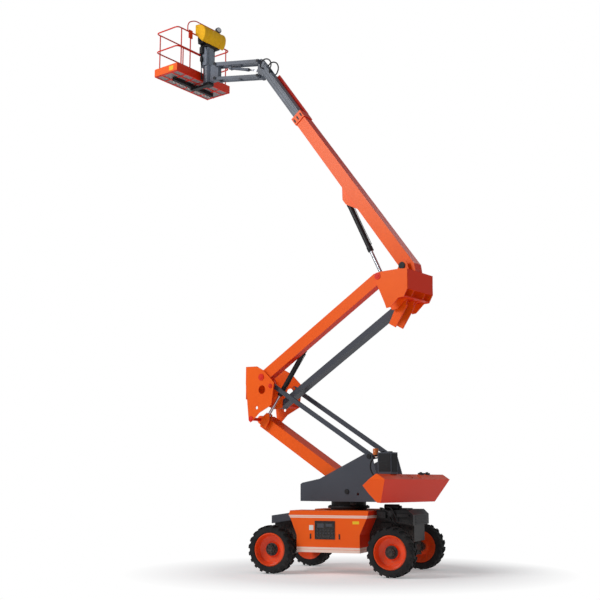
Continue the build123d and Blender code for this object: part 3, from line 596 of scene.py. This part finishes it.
collar = Piece("boom_collar_pads", BOOM)
for z in (-0.09, 0.01, 0.12):
    for low, high in ((-0.166, -0.159), (0.159, 0.166)):
        collar.box((4.66, low, z), (4.76, high, z + 0.035))
collar.done(black, "main_boom", 0.002)

# ------------------------------------------------------------------ jib
# Two parallel steel arms between the mount and the post, on pins with black heads, with a small
# cylinder slanting between them. Two rubber hoses loop over the fly's head.
steel = painted("steel_blue_paint", STEEL, SLATE, 0.38, 0.3, 0.0)
dress(steel, "jib_mount", "jib_upper_arm", "jib_lower_arm", "jib_post")
for body, x, heights in (("jib_mount", -2.4554, (11.6964, 11.3264)),
                         ("jib_post", -3.8273, (11.9756, 11.6056))):
    heads = Piece(body + "_pin_heads")
    for z in heights:
        for side in (-1, 1):
            heads.rod((x, side * 0.149, z), (x, side * 0.158, z), 0.036, 20)
    heads.done(black, body, 0.002)
STRUT_EYE, STRUT_FOOT = Vector((-3.40, 0, 11.795)), Vector((-2.60, 0, 11.53))
strut_way = (STRUT_FOOT - STRUT_EYE).normalized()
strut = Piece("jib_cylinder_barrel_dress")
strut.rod(STRUT_EYE, STRUT_EYE + strut_way * 0.60, 0.036, 28)
strut.rod(STRUT_EYE + strut_way * 0.53, STRUT_EYE + strut_way * 0.605, 0.042, 28)
strut.rod(STRUT_EYE - Vector((0, 0.035, 0)), STRUT_EYE + Vector((0, 0.035, 0)), 0.046, 24)
for low, high in ((-0.055, -0.038), (0.038, 0.055)):
    strut.plate([(-3.46, 11.86), (-3.34, 11.845), (-3.36, 11.76), (-3.44, 11.76)], low, high)
strut.done(steel, "jib_upper_arm", 0.002)
ram = Piece("jib_cylinder_rod_dress")
ram.rod(STRUT_EYE + strut_way * 0.58, STRUT_FOOT, 0.021, 24)
ram.rod(STRUT_FOOT - Vector((0, 0.03, 0)), STRUT_FOOT + Vector((0, 0.03, 0)), 0.034, 24)
ram.done(chrome, "jib_upper_arm")
for name, y, lift in (("head_hose_near", -0.138, 0.0), ("head_hose_far", 0.138, 0.012)):
    hose = Piece(name)
    hose.pipe([(-2.103, y * 0.6, 11.302), (-2.075, y, 11.37), (-2.03, y, 11.48 + lift),
               (-2.07, y, 11.60 + lift), (-2.17, y, 11.665 + lift), (-2.28, y, 11.66 + lift),
               (-2.345, y, 11.60), (-2.345, y, 11.50), (-2.28, y * 0.8, 11.46)], 0.016, 10, 5)
    hose.done(hose_black, "fly_boom")

# ------------------------------------------------------------------ platform floor and rack
# A floor of grey expanded sheet in an orange kick plate, carried by red welded members. A rack with
# a row of pale slots lies below it, on the black bracket.
FLOOR_Z = 11.713
UNDER_Z = FLOOR_Z - 0.04
NEAR_X = -4.3073
FAR_X = NEAR_X - 0.77
END_Y = 0.965
MESH_PITCH = 130.0
floor_paint = painted("floor_paint", (0.80, 0.05, 0.018), (0.70, 0.04, 0.016), 0.45, 0.2, 0.0)
floor_x, floor_y, _ = floor_paint.axes()
cells = ((floor_x * MESH_PITCH).math("SINE") * (floor_y * MESH_PITCH).math("SINE")).above(-0.15, 0.4)
floor_paint.colour(floor_paint.mix(cells, (0.08, 0.07, 0.07), (0.34, 0.28, 0.28)))
dress(floor_paint, "platform_floor")
dress(orange, "platform_kick")
dress(black, "platform_bracket")
members = Piece("floor_members")
for k in range(7):
    y = -0.93 + 0.31 * k
    members.box((FAR_X + 0.006, y - 0.016, UNDER_Z - 0.014), (NEAR_X - 0.006, y + 0.016, UNDER_Z + 0.001))
for x in (FAR_X + 0.006, FAR_X + 0.21, NEAR_X - 0.23, NEAR_X - 0.036):
    members.box((x, -END_Y + 0.004, UNDER_Z - 0.013), (x + 0.028, END_Y - 0.004, UNDER_Z + 0.001))
members.done(red, "platform")
rack = Piece("rack_slots")
for k in range(11):
    y = -0.64 + 0.128 * k
    rack.box((-4.730, y - 0.030, 11.545), (-4.7165, y + 0.030, 11.600))
rack.done(pale, "platform")
kick_sign = Piece("kick_blank_sign")
kick_sign.box((NEAR_X - 0.27, -END_Y - 0.0015, FLOOR_Z), (NEAR_X - 0.13, -END_Y + 0.001, FLOOR_Z + 0.11))
kick_sign.done(yellow_sign, "platform")

# ------------------------------------------------------------------ rails, guard post and hoop
# Round red rails are welded to the floor. An extra post, a clamp plate and a bent hoop stand on
# the rail beside the controls.
TOP_Z = FLOOR_Z + 1.10
RAIL_X = NEAR_X - 0.017
dress(red, "platform_rails")
guard = Piece("guard_post_and_hoop")
guard.rod((RAIL_X, -0.50, FLOOR_Z + 0.145), (RAIL_X, -0.50, TOP_Z), 0.015, 16)
guard.box((RAIL_X - 0.012, -0.56, TOP_Z - 0.16), (RAIL_X + 0.018, -0.44, TOP_Z + 0.05))
HOOP = ((-0.60, 0.0), (-0.595, 0.16), (-0.52, 0.27), (-0.34, 0.355), (-0.16, 0.362), (0.20, 0.362),
        (0.52, 0.360), (0.66, 0.30), (0.70, 0.16), (0.70, 0.0))
guard.pipe([(RAIL_X, y, TOP_Z + z) for y, z in HOOP], 0.014, 12)
guard.done(red, "platform")

# ------------------------------------------------------------------ platform column
# A pale steel column that carries the platform's controls. Bent cheeks and a bolted face plate
# close it, and switch boxes and four cables are fixed to its sides.
steel_light = painted("steel_light_paint", (0.27, 0.31, 0.37), (0.20, 0.23, 0.28), 0.4, 0.2, 0.0)
dress(steel_light, "platform_column")
COLUMN = Matrix.Translation((NEAR_X, 0, FLOOR_Z))
cables = Piece("column_cables", COLUMN)
for k in range(4):
    y = -0.158 - 0.008 * k
    cables.pipe([(0.05 + 0.02 * k, y, -0.06), (0.04 + 0.015 * k, y, 0.12),
                 (0.06, y - 0.01 * (k % 2), 0.45), (0.045, y, 0.78), (0.05, y + 0.01, 0.88)], 0.008, 8)
cables.done(hose_black, "platform")
boxes = Piece("column_switch_boxes", COLUMN)
boxes.box((0.02, -0.21, 0.62), (0.12, -0.149, 0.80))
boxes.box((0.03, -0.20, 0.42), (0.10, -0.149, 0.54))
boxes.box((0.03, 0.149, 0.50), (0.17, 0.20, 0.78))
boxes.box((0.004, -0.16, 0.800), (0.222, 0.20, 0.871))
boxes.done(black, "platform", 0.004)
face_plate = Piece("column_face")
face_plate.plate([(-4.098, 12.03), (-4.086, 12.05), (-4.086, 12.47), (-4.098, 12.50)], -0.062, 0.062)
for low, high in ((-0.150, -0.1098), (0.1098, 0.150)):
    face_plate.plate([(-4.285, 12.03), (-4.115, 12.03), (-4.100, 12.10), (-4.100, 12.40),
                      (-4.14, 12.50), (-4.285, 12.50)], low, high)
face_plate.done(steel_light, "platform", 0.004)
zinc = Paint("zinc_bolts", 0.4, 0.9)
zinc_rub = zinc.noise(60.0, 2.0)
zinc.colour(zinc.mix(zinc_rub, (0.32, 0.32, 0.33), (0.16, 0.16, 0.17)))
zinc.rough(zinc_rub * 0.2 + 0.3)
bolts = Piece("column_bolts")
for y in (-0.088, 0.088):
    for z in (0.34, 0.46, 0.62, 0.76):
        bolts.rod((-4.0985, y, FLOOR_Z + z), (-4.088, y, FLOOR_Z + z), 0.011, 6)
bolts.done(zinc, "platform")

# ------------------------------------------------------------------ work lamp
# A small lamp of painted metal on a slanting stalk, with cooling rings round its body and a fluted
# glass in front.
LAMP_Z = TOP_Z + 0.31
RING_STEP = 0.014
work_lamp = Piece("work_lamp")
work_lamp.rod((-4.318, 0.34, TOP_Z), (-4.16, 0.33, TOP_Z + 0.27), 0.012, 12)
work_lamp.rod((-4.19, 0.34, LAMP_Z), (-4.12, 0.32, LAMP_Z), 0.062, 24, 0.068)
for k in range(4):
    x = -4.182 + RING_STEP * k
    work_lamp.rod((x, 0.338, LAMP_Z), (x + 0.006, 0.336, LAMP_Z), 0.073, 24)
work_lamp.done(slate, "platform", 0.002)
glass = Paint("lamp_glass", 0.12, 0.0, 0.6)
flutes = (glass.axes()[2] * 420.0).math("SINE")
# The flutes are real; the paler and greyer bands that follow them are painted reflection on the glass.
glass.colour(glass.mix(flutes.above(0.0, 1.4), (0.62, 0.66, 0.70), (0.86, 0.88, 0.90)))
glass.bump(flutes, 0.3, 0.002)
lens = Piece("work_lamp_glass")
lens.rod((-4.121, 0.3203, LAMP_Z), (-4.112, 0.3177, LAMP_Z), 0.055, 28)
lens.done(glass, "platform")

# ------------------------------------------------------------------ control console
# A black box on the column's head, with a sloping face and four short levers on its top. It is
# covered by the cloth that follows.
console = Piece("control_console", COLUMN)
console.box((0.010, -0.26, 0.871), (0.190, 0.36, 0.93))
console.plate([(0.012, 0.93), (0.190, 0.93), (0.205, 1.14), (0.06, 1.22), (0.012, 1.22)], -0.27, 0.38)
for k in range(4):
    y = -0.18 + 0.15 * k
    console.rod((0.07, y, 1.20), (0.05, y, 1.265), 0.014, 14)
console.done(black, "platform", 0.006)

# ------------------------------------------------------------------ console cover
# One sheet of coated yellow cloth, round in front and closed at both ends, stretched over the
# console. It sags between its ends, folds softly and puckers at its hem.
cloth = Paint("yellow_cloth", 0.7, 0.0, 0.0, 0.3)
THREADS = 1500.0
_, cloth_y, cloth_z = cloth.axes()
weave = (cloth_y * THREADS).math("SINE") * (cloth_z * THREADS).math("SINE")
cloth_cloud = cloth.noise(6.0, 3.0)
cloth.colour(cloth.mix(cloth_cloud, (0.90, 0.42, 0.002), (0.98, 0.58, 0.006)))
cloth.rough(cloth_cloud * 0.2 + 0.6)
cloth.bump(weave * 0.3 + cloth_cloud, 0.35, 0.002)

COVER_X = NEAR_X + 0.004
COVER_MIDDLE_Z = FLOOR_Z + 1.090
COVER_DEEP = 0.335
COVER_HALF_HEIGHT = 0.250
COVER_LOW_Y, COVER_HIGH_Y = -0.344, 0.419
ACROSS, ALONG, CAP_RINGS = 44, 60, 8
START, END = radians(-60), radians(90)
SAG, PUCKER, FOLD, SMALL_FOLD, SWELL, END_BULGE = 0.014, 0.0055, 0.0045, 0.003, 0.012, 0.006
CLOTH_THICKNESS = 0.003


def cover_point(u, v, shrink=0.0):
    """A point of the cover, u round from the hem to the top and v along it."""
    a = START + (END - START) * u
    middle = sin(pi * v)
    sag = SAG * middle * max(0.0, sin(a)) ** 2
    # The waves along the hem and over the front are as wide as the cloth's own wrinkles.
    pucker = PUCKER * (1 - u) ** 3 * sin(46 * v + 3 * sin(9 * v))
    fold = FOLD * sin(17 * v + 5 * u) * sin(pi * u) + SMALL_FOLD * sin(31 * v - 8 * u + 1.3)
    scale = 1 - shrink
    swell = (pucker + fold) * scale + SWELL * middle * sin(pi * u)
    front = max(cos(a), 0.0) ** (0.6 if a < 0 else 0.8)
    return (COVER_X + (COVER_DEEP + swell) * front * scale,
            COVER_LOW_Y + (COVER_HIGH_Y - COVER_LOW_Y) * v,
            COVER_MIDDLE_Z + ((COVER_HALF_HEIGHT + swell) * sin(a) - sag) * scale)


def cap_point(u, inward, v):
    """A point of a closed end, u round its rim and inward from there to its middle."""
    x, y, z = cover_point(u, v, 0.999 * inward)
    bulge = END_BULGE * sin(pi * inward) * sin(5 * u + 1)
    return x, y - (bulge if v else -bulge), z


cover = Piece("console_cover_cloth")
for cells_along, point in ((ALONG, cover_point), (CAP_RINGS, lambda u, t: cap_point(u, t, 0.0)),
                           (CAP_RINGS, lambda u, t: cap_point(u, t, 1.0))):
    made = bmesh.ops.create_grid(cover.bm, x_segments=ACROSS, y_segments=cells_along, size=0.5,
                                 matrix=Matrix.Translation((0.5, 0.5, 0)))
    for vert in made["verts"]:
        vert.co = point(vert.co.x, vert.co.y)
bmesh.ops.remove_doubles(cover.bm, verts=cover.bm.verts, dist=2e-6)
for face in cover.bm.faces:
    face.smooth = True
cover_area = sum(face.calc_area() for face in cover.bm.faces)
cloth_cover = cover.done(cloth, "platform")
cloth_cover.modifiers.new("thickness", "SOLIDIFY").thickness = CLOTH_THICKNESS

# ------------------------------------------------------------------ camera and lamps
# A long lens low beside the machine, with the whole boom in a square picture. Three soft lamps
# light it from the front, from the side and from behind.
CAMERA_YAW = 37.56
CAMERA_PITCH = 10.19
camera_data = bpy.data.cameras.new("camera")
camera_data.lens = 60.87
camera_data.sensor_width = 36
camera_data.clip_end = 200
camera = bpy.data.objects.new("camera", camera_data)
camera.location = (12.26, -17.60, 1.793)
camera.rotation_euler = (radians(90 + CAMERA_PITCH), 0, radians(CAMERA_YAW))
scene = bpy.context.scene
scene.collection.objects.link(camera)
scene.camera = camera
scene.view_settings.view_transform = "Standard"


def lamp(name, place, target, size, power):
    """A square soft lamp that looks from one point to another."""
    data = bpy.data.lights.new(name, "AREA")
    data.size = size
    data.energy = power
    obj = bpy.data.objects.new(name, data)
    obj.location = place
    aim = Vector(target) - Vector(place)
    obj.rotation_euler = aim.to_track_quat("-Z", "Y").to_euler()
    scene.collection.objects.link(obj)


lamp("key", (-16, -30, 24), (-1, 0, 6), 14, 7600)
lamp("side", (26, -6, 16), (0, 0, 6), 12, 60)
lamp("rim", (4, 24, 22), (-1, 0, 6), 12, 700)

# ------------------------------------------------------------------ floor and backdrop
# A pale studio floor that keeps the machine's shadow near it and runs out into plain white, and a
# soft world that the camera sees as white.
FADE_START, FADE_END = 2.6, 4.6
FLOOR_SIZE = 160
FLOOR_GLOW = 0.26
WORLD_LIGHT = 0.27
WHITE = (1, 1, 1, 1)
bpy.ops.mesh.primitive_plane_add(size=FLOOR_SIZE)
floor = bpy.context.object
floor.name = "studio_floor"
ground = Paint("floor", 0.95, 0.0, 0.0, 0.0)
ground.shader.inputs["Base Color"].default_value = (0.88, 0.88, 0.88, 1)
ground.shader.inputs["Emission Color"].default_value = WHITE
ground.shader.inputs["Emission Strength"].default_value = FLOOR_GLOW
ground_x, ground_y, _ = ground.axes()
away = (ground_x * ground_x + ground_y * ground_y).math("SQRT")
fade = away.above((FADE_START + FADE_END) / 2, FADE_END - FADE_START)
seen = ground.add("LightPath", {}, [], "Is Camera Ray")
white = ground.add("Emission", {}, {"Color": WHITE})
lit = Signal(ground, ground.shader.outputs[0])
blend = ground.add("MixShader", {}, [fade * seen, lit, white])
ground.tree.links.new(blend.socket, ground.tree.nodes["Material Output"].inputs["Surface"])
floor.data.materials.append(ground.material)

world = bpy.data.worlds.new("world")
scene.world = world
world.use_nodes = True
sky = world.node_tree
soft = sky.nodes["Background"]
soft.inputs["Color"].default_value = (0.93, 0.96, 1.0, 1.0)
soft.inputs["Strength"].default_value = WORLD_LIGHT
plain = sky.nodes.new("ShaderNodeBackground")
plain.inputs["Color"].default_value = WHITE
ray = sky.nodes.new("ShaderNodeLightPath")
choice = sky.nodes.new("ShaderNodeMixShader")
sky.links.new(ray.outputs["Is Camera Ray"], choice.inputs[0])
sky.links.new(soft.outputs[0], choice.inputs[1])
sky.links.new(plain.outputs[0], choice.inputs[2])
sky.links.new(choice.outputs[0], sky.nodes["World Output"].inputs["Surface"])

# ------------------------------------------------------------------ last update
bpy.context.view_layer.update()
